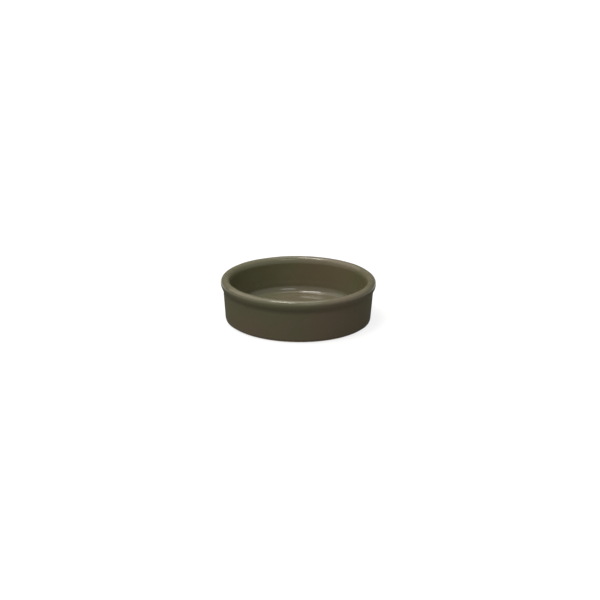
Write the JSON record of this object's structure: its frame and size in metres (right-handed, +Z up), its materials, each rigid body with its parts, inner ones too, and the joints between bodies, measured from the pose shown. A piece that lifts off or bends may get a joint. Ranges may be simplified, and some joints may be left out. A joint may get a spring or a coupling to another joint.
{
  "type": "tapas dish",
  "caption": "Small round straight-sided stoneware dish with a thick wall and a rolled lip, glazed inside and out, for serving or baking tapas.",
  "frame": {"origin": "centre of the flat ring that the dish stands on, at table level", "axes": "+Z up along the dish's axis of turning; X and Y across the rim, which is round, so either can face the front"},
  "size_m": [0.12, 0.12, 0.034],
  "materials": {
    "fired_clay": "matte",
    "olive_glaze": "gloss"
  },
  "bodies": {
    "root": {"clay_body": "fired_clay", "glaze_coat": "olive_glaze"}
  },
  "joints": []
}
